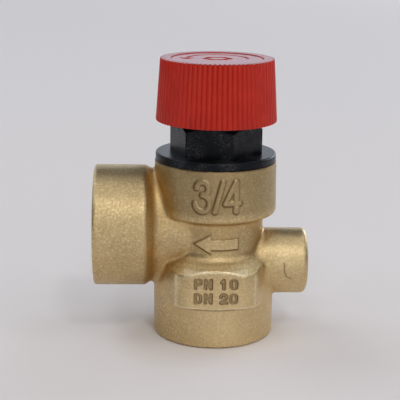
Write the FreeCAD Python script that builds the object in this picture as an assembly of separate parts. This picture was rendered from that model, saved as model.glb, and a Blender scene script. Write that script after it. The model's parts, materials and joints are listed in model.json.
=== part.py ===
import FreeCAD, Part
import math
import os

# Diaphragm pressure relief valve, G 3/4 inlet and outlet, with a G 1/4 gauge port. Millimetres.
# Origin: centre of the inlet's mouth. +Z runs up the spindle, the outlet faces -X, the gauge port
# faces +X, and the front with the raised flow arrow faces -Y.

V = FreeCAD.Vector
Y_AXIS = V(0, 1, 0)
Z_AXIS = V(0, 0, 1)
ORIGIN = V(0, 0, 0)
GAP = 0.05             # running gap between flat faces of parts that separate
OVERLAP = 0.2          # how far a boss is sunk into what it is fused with
PAST = 1.0             # how far a cutter runs past the face that it opens
BREAK = 0.2            # small rounding on the edges of turned and moulded parts
TOUCHING = 1e-3        # two shapes nearer than this lie on each other

# Threads (ISO 228-1), as plain walls at the major diameter
G34_R = 26.441 / 2
G14_R = 13.157 / 2
LEAD_IN = 0.45         # 45 degree chamfer at each threaded mouth

# Forged body, outside
INLET_R = 16.6
SHOULDER_Z = 21.6      # height of the shoulder cone above the face of the wrench flats
SHOULDER_SLOPE = 0.7   # its drop for each unit of radius
WAIST_R = 13.3
UNDERSIDE_Z = 33.5     # where the upper barrel's sloping underside leaves the waist
CHAMBER_Z = 34.7       # where it reaches the barrel's wall
CHAMBER_R = 16.8
BODY_TOP_Z = 48.6
BODY_TOP_R = 16.55
OUTLET_Z = 29.9        # height of the outlet's axis
OUTLET_R = 16.57
OUTLET_FACE = 32.9     # distance of the outlet's face from the spindle's axis
COLLAR_BACK = 18.7     # where the outlet collar's back flank starts
NECK_START = 16.3      # where that flank reaches the neck
NECK_HALF_WIDTH = 11.7
NECK_HALF_HEIGHT = 16.0
GAUGE_Z = 19.86
GAUGE_R = 9.1
GAUGE_FACE = 25.5
PAD_Y = 16.75          # wrench flats, half the distance across
PAD_HALF_WIDTH = 8.0   # flat part of each pad
PAD_STRIP_X = 10.9     # outer edge of the narrow strip beside the face
PAD_STRIP_Y = 14.9
PAD_SIDE_X = 13.1      # where the pad's slanted side has run into the barrel
PAD_SIDE_Y = 10.0
PAD_Z = 10.9           # foot of the pads, at the middle of their face
PAD_FOOT_SLOPE = 0.2   # the foot's rise for each unit of radius
PAD_EDGE = 0.9         # rounding between each pad's face and its strips
GAUGE_BLEND = 0.8      # fillets where the horizontal ports meet the upright barrels
OUTLET_BLEND = 0.9
VALLEY_BLEND = 1.2     # fillet in the valley behind the outlet's collar

# Forged body, inside
THREAD_DEPTH = 14.5
OUTLET_THREAD = 14.0
GAUGE_THREAD = 10.3
SEAT_BORE_R = 8.0
SEAT_Z = 37.0
SEAT_LIP = 0.9
SEAT_RIM_R = 9.4
TRENCH_Z = 35.0        # floor of the discharge chamber round the seat
TRENCH_R = 12.6
LEDGE_Z = 42.5         # the diaphragm's rim is clamped here
BONNET_THREAD_R = 14.6
OUTLET_BORE_R = 11.0
OUTLET_BORE_END = 10.4
GAUGE_HOLE_R = 2.6

# Raised marks on the body
MARK_RISE = 0.45
FIGURE_BASE = 37.4
FIGURE_HEIGHT = 9.1
STROKE = 1.2
BOWL_R = 1.9           # centre line of both bowls of the 3
THREE_X = -4.2
SLASH_FOOT_X = -0.75
SLASH_TOP_X = 1.35
FOUR_X = 4.9           # upright of the 4
FOUR_REACH = 2.8       # from the upright to the corner of the 4
FOUR_END = 1.2         # from the upright to the end of its bar
FOUR_BAR = 2.0         # height of that bar above the figure's foot
ARROW_Z = 28.1
ARROW_TIP_X = -5.85
ARROW_NECK_X = -1.45
ARROW_TAIL_X = 5.95
ARROW_HEAD = 2.65      # half the height of the head
ARROW_SHAFT = 1.45     # half the height of the shaft

# Bonnet
FLANGE_R = 16.35
FLANGE_TOP_Z = 50.8
HEX_ACROSS = 22.0
HEX_TOP_Z = 58.1
HEX_EDGE = 0.4         # rounding of the hexagon's upright edges
HEX_CORNER_DEG = 18.5  # a corner lies this far round from the front, towards +X
COLLAR_R = 12.0
COLLAR_TOP_Z = 60.6
COLLAR_UNDERCUT = 0.9  # step back between the hexagon and the collar
TOWER_R = 10.9         # spring tower inside the cap
SPRING_BORE_R = 9.3
BONNET_FOOT_Z = 44.3
DIAPHRAGM_ROOM_R = 12.0
DIAPHRAGM_ROOM_Z = 47.4

# Cam that lifts the cap as it turns
RAMPS = 4
RAMP_BASE_Z = 64.0
RAMP_INNER_R = 9.6
RAMP_OUTER_R = 10.7
RAMP_LIFT = 2.0
RAMP_DEG = 70.0
RAMP_PEAK_DEG = 74.0
RAMP_DROP_DEG = 78.0
RAMP_STEPS = 16
RAMP_GAP = 0.15

# Cap
CAP_BASE_Z = 59.4
CAP_TOP_Z = 76.1
CAP_BASE_R = 16.4
CAP_TOP_R = 15.3
CAP_RIBS = 72
RIB_DEPTH = 0.32
CAP_BORE_R = 13.9
WEB_Z = 66.8           # underside of the cap's web
RECESS_Z = 68.5        # top of the web, where the lift washer lies
RECESS_R = 11.4
BADGE_R = 12.4
BADGE_Z = 74.7
BADGE_TOP_Z = 75.9
ARC_R = 8.2
ARC_WIDTH = 1.0
ARC_DEPTH = 0.3

# Spindle and what hangs on it
STEM_R = 3.0
STEM_TOP_Z = 72.4
SPINDLE_TAP_Z = 44.0
STEM_CLEARANCE = 0.08
HOLDER_R = 10.5
CLAMP_R = 8.2          # radius over which the diaphragm is clamped to the disc holder
DISC_R = 9.8
DISC_BACK_Z = 39.25
DIAPHRAGM_R = 14.4
DIAPHRAGM_TOP_Z = 43.7
PLATE_R = 8.6
PLATE_TOP_Z = 45.7
PLATE_STEP = 0.6       # height of the step that centres the spring
SCREW_R = 1.5
SCREW_HEAD_R = 2.8
SCREW_HEAD_HEIGHT = 1.6
SLOT_WIDTH = 0.7
WASHER_R = 5.2
WASHER_HEIGHT = 0.7
STEM_NUT_ACROSS = 8.0
STEM_NUT_HEIGHT = 2.6
CAP_NUT_ACROSS = 9.0
CAP_NUT_HEIGHT = 2.2
SPRING_WIRE_R = 0.8
SPRING_MEAN_R = 7.2
SPRING_TURNS = 4.5
SPRING_TOP_Z = 57.9
SPRING_DISC_Z = 58.9   # top of the upper spring seat, underside of the adjusting ring
ADJUSTER_R = 9.2
ADJUSTER_TOP_Z = 63.0
ADJUSTER_SLOTS = 4
GUIDE_R = 5.0
GUIDE_FLANGE_R = 6.0
GUIDE_FLANGE = 0.9     # thickness of the guide's flange
LOCK_RING = 0.8        # thickness of the lock ring
LIFT_WASHER_R = 8.5
LIFT_WASHER_TOP_Z = 69.7


def rounded_wire(corners):
    """Closed wire in the XZ plane through corners (x, z, radius), each rounded by a tangent arc."""
    ends = []
    count = len(corners)
    for i, (x, z, radius) in enumerate(corners):
        here = V(x, 0, z)
        if radius == 0:
            ends.append((here, None, here))
            continue
        before = V(corners[i - 1][0], 0, corners[i - 1][1]) - here
        after = V(corners[(i + 1) % count][0], 0, corners[(i + 1) % count][1]) - here
        half = before.getAngle(after) / 2
        before.normalize()
        after.normalize()
        reach = radius / math.tan(half)
        middle = before + after
        middle.normalize()
        crown = here + middle * (radius / math.sin(half) - radius)
        ends.append((here + before * reach, crown, here + after * reach))
    edges = []
    for i, (start, crown, end) in enumerate(ends):
        if crown is not None:
            edges.append(Part.Arc(start, crown, end).toShape())
        following = ends[(i + 1) % count][0]
        if (following - end).Length > TOUCHING:
            edges.append(Part.LineSegment(end, following).toShape())
    return Part.Wire(edges)


def turned(corners):
    """Solid of revolution of corners (radius, height, rounding) about the spindle's axis."""
    solid = Part.Face(rounded_wire(corners)).revolve(ORIGIN, Z_AXIS, 360)
    return solid if solid.Volume > 0 else solid.reversed()


def turned_along_x(corners, height, side):
    """Solid of revolution about a horizontal axis at a height; corners are (radius, distance, rounding)."""
    solid = turned(corners)
    solid.rotate(ORIGIN, Y_AXIS, 90 * side)
    solid.translate(V(0, 0, height))
    return solid


def ring(inner, outer, low, high, rounding=0.0):
    """Plain ring about the spindle's axis, its four edges rounded."""
    corners = ((inner, low), (outer, low), (outer, high), (inner, high))
    return turned([(radius, height, rounding) for radius, height in corners])


def disc(outer, low, high, rounding=0.0):
    """Plain disc about the spindle's axis, its two outer edges rounded."""
    return turned([(0, low, 0), (outer, low, rounding), (outer, high, rounding), (0, high, 0)])


def corner_radius(across):
    """Radius through the corners of a hexagon, from its width across the flats."""
    return across / math.sqrt(3)


def hexagon(across, low, high, corner_deg=0.0):
    """Hexagonal prism about the spindle's axis; corner_deg turns a corner from -Y towards +X."""
    reach = corner_radius(across)
    points = []
    for i in range(7):
        turn = math.radians(corner_deg + 60 * i)
        points.append(V(reach * math.sin(turn), -reach * math.cos(turn), low))
    return Part.Face(Part.makePolygon(points)).extrude(V(0, 0, high - low))


def hex_nut(across, low, high, hole_r):
    """Hexagonal nut with both ends chamfered."""
    reach = corner_radius(across)
    chamfer = 0.5
    envelope = turned([
        (0, low, 0), (reach - chamfer, low, 0), (reach + chamfer, low + chamfer, 0),
        (reach + chamfer, high - chamfer, 0), (reach - chamfer, high, 0), (0, high, 0),
    ])
    nut = hexagon(across, low, high).common(envelope)
    return nut.cut(disc(hole_r, low - PAST, high + PAST))


def polygon_prism(points, y_front, y_back):
    """Prism of an outline given in (x, z), between two planes across Y."""
    wire = Part.makePolygon([V(x, y_front, z) for x, z in points + points[:1]])
    return Part.Face(wire).extrude(V(0, y_back - y_front, 0))


def bar(start, end, width, y_front, y_back):
    """Straight stroke with round ends between two (x, z) points."""
    run = V(end[0] - start[0], 0, end[1] - start[1])
    side = V(-run.z, 0, run.x) * (width / 2 / run.Length)
    outline = [
        (start[0] + side.x, start[1] + side.z), (end[0] + side.x, end[1] + side.z),
        (end[0] - side.x, end[1] - side.z), (start[0] - side.x, start[1] - side.z),
    ]
    stroke = polygon_prism(outline, y_front, y_back)
    for x, z in (start, end):
        stroke = stroke.fuse(rod_along_y(x, z, width / 2, y_front, y_back))
    return stroke


def rod_along_y(x, z, radius, y_front, y_back):
    return Part.makeCylinder(radius, y_back - y_front, V(x, y_front, z), Y_AXIS)


def bow(x, z, radius, width, from_deg, to_deg, y_front, y_back):
    """Curved stroke with round ends: an arc about (x, z) between two angles, 0 at +X and 90 at +Z."""
    def at(distance, degrees):
        turn = math.radians(degrees)
        return V(x + distance * math.cos(turn), y_front, z + distance * math.sin(turn))
    outer = radius + width / 2
    inner = radius - width / 2
    middle = (from_deg + to_deg) / 2
    edges = [
        Part.Arc(at(outer, from_deg), at(outer, middle), at(outer, to_deg)).toShape(),
        Part.LineSegment(at(outer, to_deg), at(inner, to_deg)).toShape(),
        Part.Arc(at(inner, to_deg), at(inner, middle), at(inner, from_deg)).toShape(),
        Part.LineSegment(at(inner, from_deg), at(outer, from_deg)).toShape(),
    ]
    stroke = Part.Face(Part.Wire(edges)).extrude(V(0, y_back - y_front, 0))
    for degrees in (from_deg, to_deg):
        end = at(radius, degrees)
        stroke = stroke.fuse(rod_along_y(end.x, end.z, width / 2, y_front, y_back))
    return stroke


def fused(solids):
    whole = solids[0]
    for solid in solids[1:]:
        whole = whole.fuse(solid)
    return whole.removeSplitter()


# ---------------------------------------------------------------- forged body

def shoulder_height(radius):
    return SHOULDER_Z + SHOULDER_SLOPE * (PAD_Y - radius)


def upright_barrels():
    """Inlet barrel, shoulder, waist and upper barrel as one turned shape."""
    return turned([
        (0, 0, 0),
        (INLET_R, 0, 0.5),
        (INLET_R, shoulder_height(INLET_R), 1.4),
        (WAIST_R, shoulder_height(WAIST_R), 1.4),
        (WAIST_R, UNDERSIDE_Z, 1.0),
        (CHAMBER_R, CHAMBER_Z, 0.6),
        (BODY_TOP_R, BODY_TOP_Z, 0.25),
        (0, BODY_TOP_Z, 0),
    ])


def outlet_outside():
    """Round collar with a sloping back flank, on an oval neck that is taller than it is wide."""
    collar = turned_along_x([
        (0, NECK_START, 0),
        (NECK_HALF_WIDTH - OVERLAP, NECK_START, 0),
        (OUTLET_R, COLLAR_BACK, 0.6),
        (OUTLET_R, OUTLET_FACE, 0.6),
        (0, OUTLET_FACE, 0),
    ], OUTLET_Z, -1)
    oval = Part.Ellipse(ORIGIN, NECK_HALF_HEIGHT, NECK_HALF_WIDTH).toShape()
    neck = Part.Face(Part.Wire(oval)).extrude(V(0, 0, COLLAR_BACK + PAST))
    neck.rotate(ORIGIN, Y_AXIS, -90)
    neck.translate(V(0, 0, OUTLET_Z))
    return collar, neck


def gauge_outside():
    corners = [(0, 0, 0), (GAUGE_R, 0, 0), (GAUGE_R, GAUGE_FACE, 1.6), (0, GAUGE_FACE, 0)]
    return turned_along_x(corners, GAUGE_Z, 1)


def wrench_pads():
    """Front and back flats with strips and slanted sides, cut back by a cone above and one below."""
    outline = [
        V(-PAD_SIDE_X, -PAD_SIDE_Y, 0), V(-PAD_STRIP_X, -PAD_STRIP_Y, 0), V(-PAD_HALF_WIDTH, -PAD_Y, 0),
        V(PAD_HALF_WIDTH, -PAD_Y, 0), V(PAD_STRIP_X, -PAD_STRIP_Y, 0), V(PAD_SIDE_X, -PAD_SIDE_Y, 0),
        V(0, 0, 0), V(-PAD_SIDE_X, -PAD_SIDE_Y, 0),
    ]
    wedge = Part.Face(Part.makePolygon(outline)).extrude(V(0, 0, SHOULDER_Z + PAST))
    outer = PAD_Y + 4.0
    inner = INLET_R - PAST
    cones = turned([
        (0, PAD_Z, 0), (inner, PAD_Z + PAD_FOOT_SLOPE * (inner - PAD_Y), 0),
        (outer, PAD_Z + PAD_FOOT_SLOPE * (outer - PAD_Y), 0),
        (outer, shoulder_height(outer), 0), (inner, shoulder_height(inner), 0), (0, shoulder_height(inner), 0),
    ])
    pad = wedge.common(cones)
    uprights = []
    for edge in pad.Edges:
        upright = edge.BoundBox.XLength + edge.BoundBox.YLength < TOUCHING
        if upright and abs(abs(edge.CenterOfMass.x) - PAD_HALF_WIDTH) < TOUCHING:
            uprights.append(edge)
    pad = pad.makeFillet(PAD_EDGE, uprights)
    other = pad.copy()
    other.rotate(ORIGIN, Z_AXIS, 180)
    return pad, other


def seam(whole, one, other):
    """Edges of a fused solid that lie on the skins of both its parts."""
    found = []
    for edge in whole.Edges:
        middle = Part.Vertex(edge.valueAt((edge.FirstParameter + edge.LastParameter) / 2))
        if all(part.Shells[0].distToShape(middle)[0] < TOUCHING for part in (one, other)):
            found.append(edge)
    return found


def body_outside():
    barrels = upright_barrels()
    collar, neck = outlet_outside()
    outlet = fused([collar, neck])
    outlet = outlet.makeFillet(VALLEY_BLEND, seam(outlet, collar, neck))
    gauge = gauge_outside()
    whole = fused([barrels, outlet, gauge])
    whole = whole.makeFillet(OUTLET_BLEND, seam(whole, barrels, outlet))
    whole = whole.makeFillet(GAUGE_BLEND, seam(whole, barrels, gauge))
    pad, other_pad = wrench_pads()
    return fused([whole, pad, other_pad])


def on_cylinder(strokes, radius):
    """The part of some strokes that stands proud of a cylinder about the spindle's axis."""
    low = min(stroke.BoundBox.ZMin for stroke in strokes) - PAST
    high = max(stroke.BoundBox.ZMax for stroke in strokes) + PAST
    skin = ring(radius - OVERLAP, radius + MARK_RISE, low, high)
    return [stroke.common(skin) for stroke in strokes]


def size_figures():
    """The thread size 3/4, raised on the front of the upper barrel."""
    front, back = -BODY_TOP_R - 2, -BODY_TOP_R + 4
    top = FIGURE_BASE + FIGURE_HEIGHT - STROKE / 2
    foot = FIGURE_BASE + STROKE / 2
    bar_z = foot + FOUR_BAR
    corner = (FOUR_X - FOUR_REACH, bar_z)
    strokes = [
        bow(THREE_X, top - BOWL_R, BOWL_R, STROKE, -80, 160, front, back),
        bow(THREE_X, foot + BOWL_R, BOWL_R, STROKE, -160, 80, front, back),
        bar((SLASH_FOOT_X, foot), (SLASH_TOP_X, top), STROKE, front, back),
        bar((FOUR_X, foot), (FOUR_X, top), STROKE, front, back),
        bar((FOUR_X, top), corner, STROKE, front, back),
        bar(corner, (FOUR_X + FOUR_END, bar_z), STROKE, front, back),
    ]
    return on_cylinder(strokes, (BODY_TOP_R + CHAMBER_R) / 2)


def flow_arrow():
    """Raised arrow on the waist that points to the outlet."""
    above = [
        (ARROW_TIP_X, 0), (ARROW_NECK_X, ARROW_HEAD),
        (ARROW_NECK_X, ARROW_SHAFT), (ARROW_TAIL_X, ARROW_SHAFT),
    ]
    below = [(x, -z) for x, z in reversed(above[1:])]
    outline = [(x, ARROW_Z + z) for x, z in above + below]
    return on_cylinder([polygon_prism(outline, -WAIST_R - 2, -WAIST_R + 5)], WAIST_R)


def valve_body():
    solid = body_outside()
    for stroke in size_figures() + flow_arrow():
        solid = solid.fuse(stroke)
    inlet = turned([
        (0, -PAST, 0), (G34_R + LEAD_IN + PAST, -PAST, 0), (G34_R, LEAD_IN, 0), (G34_R, THREAD_DEPTH, 0),
        (SEAT_BORE_R, THREAD_DEPTH + 2.5, 0), (SEAT_BORE_R, LEDGE_Z, 0), (0, LEDGE_Z, 0),
    ])
    chamber = turned([
        (SEAT_BORE_R + SEAT_LIP, SEAT_Z, 0), (SEAT_RIM_R, TRENCH_Z + 1, 0), (SEAT_RIM_R, TRENCH_Z, 0.3),
        (TRENCH_R, TRENCH_Z, 0.8), (TRENCH_R, LEDGE_Z, 0), (BONNET_THREAD_R, LEDGE_Z, 0),
        (BONNET_THREAD_R, BODY_TOP_Z + PAST, 0), (0, BODY_TOP_Z + PAST, 0), (0, SEAT_Z, 0),
    ])
    thread_end = OUTLET_FACE - OUTLET_THREAD
    outlet = turned_along_x([
        (0, OUTLET_BORE_END, 0), (OUTLET_BORE_R, OUTLET_BORE_END, 0), (OUTLET_BORE_R, thread_end - 1.5, 0),
        (G34_R, thread_end, 0), (G34_R, OUTLET_FACE - LEAD_IN, 0),
        (G34_R + LEAD_IN + PAST, OUTLET_FACE + PAST, 0), (0, OUTLET_FACE + PAST, 0),
    ], OUTLET_Z, -1)
    gauge_end = GAUGE_FACE - GAUGE_THREAD
    gauge = turned_along_x([
        (0, SEAT_BORE_R - 2, 0), (GAUGE_HOLE_R, SEAT_BORE_R - 2, 0), (GAUGE_HOLE_R, gauge_end - 1, 0),
        (G14_R, gauge_end, 0), (G14_R, GAUGE_FACE - LEAD_IN, 0),
        (G14_R + LEAD_IN + PAST, GAUGE_FACE + PAST, 0), (0, GAUGE_FACE + PAST, 0),
    ], GAUGE_Z, 1)
    for cutter in (inlet, chamber, outlet, gauge):
        solid = solid.cut(cutter)
    return solid


# ---------------------------------------------------------------- bonnet, cap and their cam

def ramp_height(degrees):
    """Height of the cam above its foot, along one of its periods."""
    if degrees <= RAMP_PEAK_DEG:
        return RAMP_LIFT * degrees / RAMP_DEG
    if degrees >= RAMP_DROP_DEG:
        return 0.0
    peak = RAMP_LIFT * RAMP_PEAK_DEG / RAMP_DEG
    return peak * (RAMP_DROP_DEG - degrees) / (RAMP_DROP_DEG - RAMP_PEAK_DEG)


def cam(level, raised):
    """Ring of ramps between a flat level and the cam's surface, which lies a little higher if raised."""
    period = 360 / RAMPS
    stops = [RAMP_PEAK_DEG * i / RAMP_STEPS for i in range(RAMP_STEPS + 1)]
    stops += [RAMP_DROP_DEG, (RAMP_DROP_DEG + period) / 2, period]
    teeth = []
    for tooth in range(RAMPS):
        sections = []
        for stop in stops:
            surface = RAMP_BASE_Z + ramp_height(stop) + raised
            turn = math.radians(stop + tooth * period)
            corners = [
                V(radius * math.cos(turn), radius * math.sin(turn), height)
                for radius, height in (
                    (RAMP_INNER_R, level), (RAMP_OUTER_R, level),
                    (RAMP_OUTER_R, surface), (RAMP_INNER_R, surface), (RAMP_INNER_R, level),
                )
            ]
            sections.append(Part.makePolygon(corners))
        teeth.append(Part.makeLoft(sections, True, True))
    return fused(teeth)


def bonnet():
    """Flange, hexagon, collar and spring tower over the diaphragm, bored for the spring."""
    flange = turned([
        (0, BODY_TOP_Z, 0), (FLANGE_R, BODY_TOP_Z, BREAK),
        (FLANGE_R, FLANGE_TOP_Z, 0.5), (0, FLANGE_TOP_Z, 0),
    ])
    skirt = disc(BONNET_THREAD_R - GAP, BONNET_FOOT_Z, BODY_TOP_Z + PAST)
    reach = corner_radius(HEX_ACROSS)
    chamfer = turned([
        (0, FLANGE_TOP_Z - PAST, 0), (reach + 1.0, FLANGE_TOP_Z - PAST, 0),
        (reach + 1.0, HEX_TOP_Z - 1.5, 0), (reach - 1.0, HEX_TOP_Z, 0), (0, HEX_TOP_Z, 0),
    ])
    prism = hexagon(HEX_ACROSS, FLANGE_TOP_Z - PAST, HEX_TOP_Z, HEX_CORNER_DEG)
    uprights = [edge for edge in prism.Edges if edge.BoundBox.ZLength > PAST]
    prism = prism.makeFillet(HEX_EDGE, uprights).common(chamfer)
    neck_top = HEX_TOP_Z + 0.4
    neck = disc(COLLAR_R - COLLAR_UNDERCUT, HEX_TOP_Z - PAST, neck_top)
    collar = turned([
        (0, neck_top, 0), (COLLAR_R, neck_top, 0), (COLLAR_R, COLLAR_TOP_Z, 0.6), (0, COLLAR_TOP_Z, 0),
    ])
    tower = disc(TOWER_R, COLLAR_TOP_Z - PAST, RAMP_BASE_Z)
    solid = fused([skirt, flange, prism, neck, collar, tower])
    solid = solid.cut(disc(DIAPHRAGM_ROOM_R, BONNET_FOOT_Z - PAST, DIAPHRAGM_ROOM_Z))
    solid = solid.cut(disc(SPRING_BORE_R, BONNET_FOOT_Z - PAST, RAMP_BASE_Z + PAST))
    return solid.fuse(cam(RAMP_BASE_Z - OVERLAP, 0.0)).removeSplitter()


def ribbed_outline(radius, height):
    """Closed polygon of the cap's outline: a crest and a groove for every rib."""
    points = []
    for i in range(2 * CAP_RIBS + 1):
        turn = math.pi * i / CAP_RIBS
        reach = radius - RIB_DEPTH * (i % 2)
        points.append(V(reach * math.cos(turn), reach * math.sin(turn), height))
    return Part.makePolygon(points)


def cap():
    """Hand cap: ribs outside, a skirt over the collar, a web with the cam below, a seat for the badge."""
    outlines = [ribbed_outline(CAP_BASE_R, CAP_BASE_Z), ribbed_outline(CAP_TOP_R, CAP_TOP_Z)]
    solid = Part.makeLoft(outlines, True, True)
    hollows = (
        (CAP_BORE_R, CAP_BASE_Z - PAST, WEB_Z),
        (RECESS_R, RECESS_Z, BADGE_Z + PAST),
        (BADGE_R, BADGE_Z, CAP_TOP_Z + PAST),
        (STEM_R + 0.4, WEB_Z - PAST, RECESS_Z + PAST),
    )
    for radius, low, high in hollows:
        solid = solid.cut(disc(radius, low, high))
    return solid.fuse(cam(WEB_Z + OVERLAP, RAMP_GAP)).removeSplitter()


def cap_badge():
    """Thin disc let into the cap, with an arc-shaped groove over its back half."""
    plate = disc(BADGE_R - GAP, BADGE_Z, BADGE_TOP_Z, 0.25)
    low, high = BADGE_TOP_Z - ARC_DEPTH, BADGE_TOP_Z + PAST
    groove = ring(ARC_R - ARC_WIDTH / 2, ARC_R + ARC_WIDTH / 2, low, high)
    half = Part.makeBox(2 * BADGE_R, BADGE_R, high - low, V(-BADGE_R, 0, low))
    return plate.cut(groove.common(half))


# ---------------------------------------------------------------- pieces fixed inside body and bonnet

def diaphragm():
    """Membrane with one convolution between its clamped rim and its clamped middle."""
    crest = (CLAMP_R + TRENCH_R) / 2
    half, rise, bend = 1.3, 1.4, 0.6
    hole = STEM_R + 0.15
    return turned([
        (hole, LEDGE_Z, 0), (crest - half, LEDGE_Z, bend), (crest, LEDGE_Z + rise, bend),
        (crest + half, LEDGE_Z, bend), (DIAPHRAGM_R, LEDGE_Z, 0), (DIAPHRAGM_R, DIAPHRAGM_TOP_Z, 0),
        (crest + half, DIAPHRAGM_TOP_Z, bend), (crest, DIAPHRAGM_TOP_Z + rise, bend),
        (crest - half, DIAPHRAGM_TOP_Z, bend), (hole, DIAPHRAGM_TOP_Z, 0),
    ])


def clamp_ring():
    return ring(DIAPHRAGM_ROOM_R, DIAPHRAGM_R, DIAPHRAGM_TOP_Z, BONNET_FOOT_Z, 0.1)


def spring():
    """Round wire wound about the spindle, with a little play at both ends."""
    low = PLATE_TOP_Z + SPRING_WIRE_R + GAP
    high = SPRING_TOP_Z - SPRING_WIRE_R - GAP
    path = Part.makeHelix((high - low) / SPRING_TURNS, high - low, SPRING_MEAN_R)
    path.translate(V(0, 0, low))
    section = Part.Wire(Part.makeCircle(SPRING_WIRE_R, V(SPRING_MEAN_R, 0, low), Y_AXIS))
    return path.makePipeShell([section], True, True)


def spring_disc():
    return ring(STEM_R + 0.5, PLATE_R, SPRING_TOP_Z, SPRING_DISC_Z, BREAK)


def adjusting_ring():
    """Threaded plug that presses on the spring, with slots for its key."""
    solid = turned([
        (GUIDE_R, SPRING_DISC_Z, 0), (ADJUSTER_R, SPRING_DISC_Z, 0.5), (ADJUSTER_R, ADJUSTER_TOP_Z, 0.3),
        (GUIDE_R, ADJUSTER_TOP_Z, 0),
    ])
    length, width, depth = 2.2, 2.0, 1.2
    for i in range(ADJUSTER_SLOTS):
        corner = V(ADJUSTER_R - length, -width / 2, ADJUSTER_TOP_Z - depth)
        slot = Part.makeBox(length + PAST, width, depth + PAST, corner)
        slot.rotate(ORIGIN, Z_AXIS, 360 / ADJUSTER_SLOTS * i)
        solid = solid.cut(slot)
    return solid


def stem_guide():
    """Flanged bush in the adjusting ring, in which the spindle slides."""
    bore = STEM_R + STEM_CLEARANCE
    top = ADJUSTER_TOP_Z + GUIDE_FLANGE
    return turned([
        (bore, SPRING_DISC_Z, 0), (GUIDE_R, SPRING_DISC_Z, BREAK), (GUIDE_R, ADJUSTER_TOP_Z, 0),
        (GUIDE_FLANGE_R, ADJUSTER_TOP_Z, 0), (GUIDE_FLANGE_R, top, BREAK), (bore, top, 0),
    ])


def lock_ring():
    """Ring that lies over the adjusting ring so that its setting stays, with two notches for a key."""
    solid = ring(GUIDE_FLANGE_R + 0.3, ADJUSTER_R, ADJUSTER_TOP_Z, ADJUSTER_TOP_Z + LOCK_RING, 0.1)
    length, width = 2.0, 1.6
    for side in (1, -1):
        corner = V(side * (ADJUSTER_R - BREAK) - length / 2, -width / 2, ADJUSTER_TOP_Z - PAST)
        solid = solid.cut(Part.makeBox(length, width, LOCK_RING + 2 * PAST, corner))
    return solid


# ---------------------------------------------------------------- pieces that rise with the spindle

def disc_holder():
    """Carrier for the sealing disc, hollow on its lower side, with a neck up to the diaphragm."""
    rim = DISC_BACK_Z - 1.6
    top = LEDGE_Z - GAP
    return turned([
        (STEM_R, DISC_BACK_Z, 0), (DISC_R, DISC_BACK_Z, 0), (DISC_R, rim, 0),
        (HOLDER_R, rim, BREAK), (HOLDER_R, DISC_BACK_Z + 1.0, 0.5), (CLAMP_R, LEDGE_Z - 1.0, 0.3),
        (CLAMP_R, top, BREAK), (STEM_R, top, 0),
    ])


def seat_disc():
    hole, rim, foot = SCREW_R + 0.1, DISC_R - GAP, SEAT_Z + GAP
    return turned([(hole, foot, 0), (rim, foot, BREAK), (rim, DISC_BACK_Z, 0), (hole, DISC_BACK_Z, 0)])


def retaining_washer():
    top = SEAT_Z + GAP
    return ring(SCREW_R + 0.1, WASHER_R, top - WASHER_HEIGHT, top, 0.15)


def retaining_screw():
    """Pan-headed screw with a cross slot, up through washer and disc into the spindle's foot."""
    head = SEAT_Z + GAP - WASHER_HEIGHT
    foot = head - SCREW_HEAD_HEIGHT
    end = SPINDLE_TAP_Z - 0.5
    solid = turned([
        (0, foot, 0), (SCREW_HEAD_R, foot, 0.9), (SCREW_HEAD_R, head, 0), (SCREW_R, head, 0),
        (SCREW_R, end, 0.3), (0, end, 0),
    ])
    length, depth = 3.4, 0.9
    for turn in (0, 90):
        corner = V(-length / 2, -SLOT_WIDTH / 2, foot - PAST)
        slot = Part.makeBox(length, SLOT_WIDTH, depth + PAST, corner)
        slot.rotate(ORIGIN, Z_AXIS, turn)
        solid = solid.cut(slot)
    return solid


def stem():
    """Spindle with a tapped foot and a chamfered top."""
    radius, chamfer = STEM_R - 0.02, 0.5
    solid = turned([
        (0, DISC_BACK_Z, 0), (radius, DISC_BACK_Z, 0), (radius, STEM_TOP_Z - chamfer, 0),
        (radius - chamfer, STEM_TOP_Z, 0), (0, STEM_TOP_Z, 0),
    ])
    return solid.cut(disc(SCREW_R + GAP, DISC_BACK_Z - PAST, SPINDLE_TAP_Z))


def diaphragm_plate():
    """Plate over the diaphragm; its step centres the spring."""
    foot = DIAPHRAGM_TOP_Z + GAP
    step = PLATE_TOP_Z + PLATE_STEP
    step_r = SPRING_MEAN_R - SPRING_WIRE_R - 0.3
    return turned([
        (STEM_R, foot, 0), (CLAMP_R, foot, 0.4), (PLATE_R, foot + 0.75, 0.1), (PLATE_R, PLATE_TOP_Z, 0.3),
        (step_r, PLATE_TOP_Z, 0), (step_r - BREAK, step, 0), (STEM_R, step, 0),
    ])


def stem_nut():
    foot = PLATE_TOP_Z + PLATE_STEP
    return hex_nut(STEM_NUT_ACROSS, foot, foot + STEM_NUT_HEIGHT, STEM_R)


def lift_washer():
    return ring(STEM_R + 0.3, LIFT_WASHER_R, RECESS_Z + GAP, LIFT_WASHER_TOP_Z, BREAK)


def cap_nut():
    foot = LIFT_WASHER_TOP_Z + GAP
    return hex_nut(CAP_NUT_ACROSS, foot, LIFT_WASHER_TOP_Z + CAP_NUT_HEIGHT, STEM_R)


NODES = (
    valve_body, bonnet, cap, cap_badge, diaphragm, clamp_ring, spring, spring_disc, adjusting_ring,
    stem_guide, lock_ring, disc_holder, seat_disc, retaining_washer, retaining_screw, stem,
    diaphragm_plate, stem_nut, lift_washer, cap_nut,
)

os.makedirs("parts", exist_ok=True)
for node in NODES:
    node().exportStep("parts/" + node.__name__ + ".step")
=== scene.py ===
import json
import math

import bmesh
import bpy
import numpy as np
import openvdb
from mathutils import Matrix, Vector


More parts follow.
